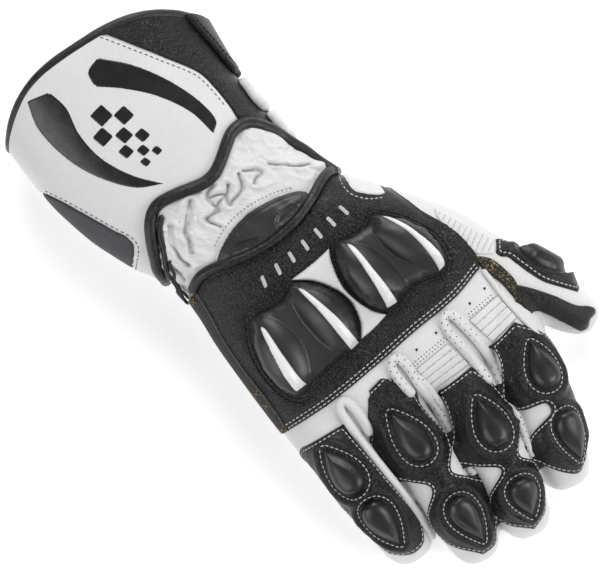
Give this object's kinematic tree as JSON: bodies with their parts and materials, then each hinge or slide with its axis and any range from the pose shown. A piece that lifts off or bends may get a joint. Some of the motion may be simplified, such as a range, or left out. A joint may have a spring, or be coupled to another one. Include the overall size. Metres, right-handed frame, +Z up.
{
  "type": "motorcycle glove",
  "caption": "Long-gauntlet racing glove of black and white leather with moulded knuckle domes and padded finger patches, lying palm down.",
  "frame": {"origin": "middle of the bounding box, on the face that the glove rests on", "axes": "+X from the cuff's rim towards the fingertips, +Y towards the thumb, +Z up out of the back of the hand"},
  "size_m": [0.2938, 0.1832, 0.0652],
  "materials": {
    "white_leather": "satin",
    "black_leather": "satin",
    "grey_leather": "matt",
    "dark_fabric": "matt",
    "moulded_black": "satin",
    "moulded_white": "gloss"
  },
  "bodies": {
    "root": {"gauntlet_shell": "white_leather", "hand_shell": "white_leather", "finger_sleeve_little": "white_leather", "finger_sleeve_ring": "white_leather", "finger_sleeve_middle": "white_leather", "finger_sleeve_index": "white_leather", "thumb_sleeve": "white_leather", "cuff_binding": "black_leather", "cuff_welt": "black_leather", "cuff_back_panel": "white_leather", "cuff_side_panel": "black_leather", "cuff_slot_panel": "grey_leather", "cuff_closure_strap": "black_leather", "cuff_gusset_front": "white_leather", "cuff_gusset_rear": "white_leather", "back_panel_roll": "black_leather", "wrist_guard": "moulded_black", "wrist_strap": "dark_fabric", "back_panel": "black_leather", "side_strip": "dark_fabric", "radial_patch": "white_leather", "radial_piping": "white_leather", "knuckle_guard_ulnar": "moulded_black", "knuckle_guard_radial": "moulded_black", "knuckle_guard_center": "white_leather", "knuckle_insert_1": "moulded_white", "knuckle_insert_2": "moulded_white", "knuckle_insert_3": "moulded_white", "knuckle_insert_4": "moulded_white", "finger_welt_1": "white_leather", "finger_welt_2": "white_leather", "finger_welt_3": "white_leather", "finger_patch_little": "black_leather", "finger_patch_ring": "black_leather", "finger_patch_middle": "black_leather", "finger_patch_index": "black_leather", "finger_slider_little_1": "moulded_black", "finger_slider_little_2": "moulded_black", "finger_slider_ring_1": "moulded_black", "finger_slider_ring_2": "moulded_black", "finger_slider_middle_1": "moulded_black", "finger_slider_middle_2": "moulded_black", "finger_slider_index_1": "moulded_black", "finger_slider_index_2": "moulded_black", "stretch_panel_middle": "white_leather", "stretch_panel_index": "white_leather", "thumb_stretch_panel": "white_leather", "thumb_patch": "black_leather", "thumb_slider": "moulded_black", "thumb_side_strip": "black_leather", "thumb_mesh": "dark_fabric"}
  },
  "joints": []
}
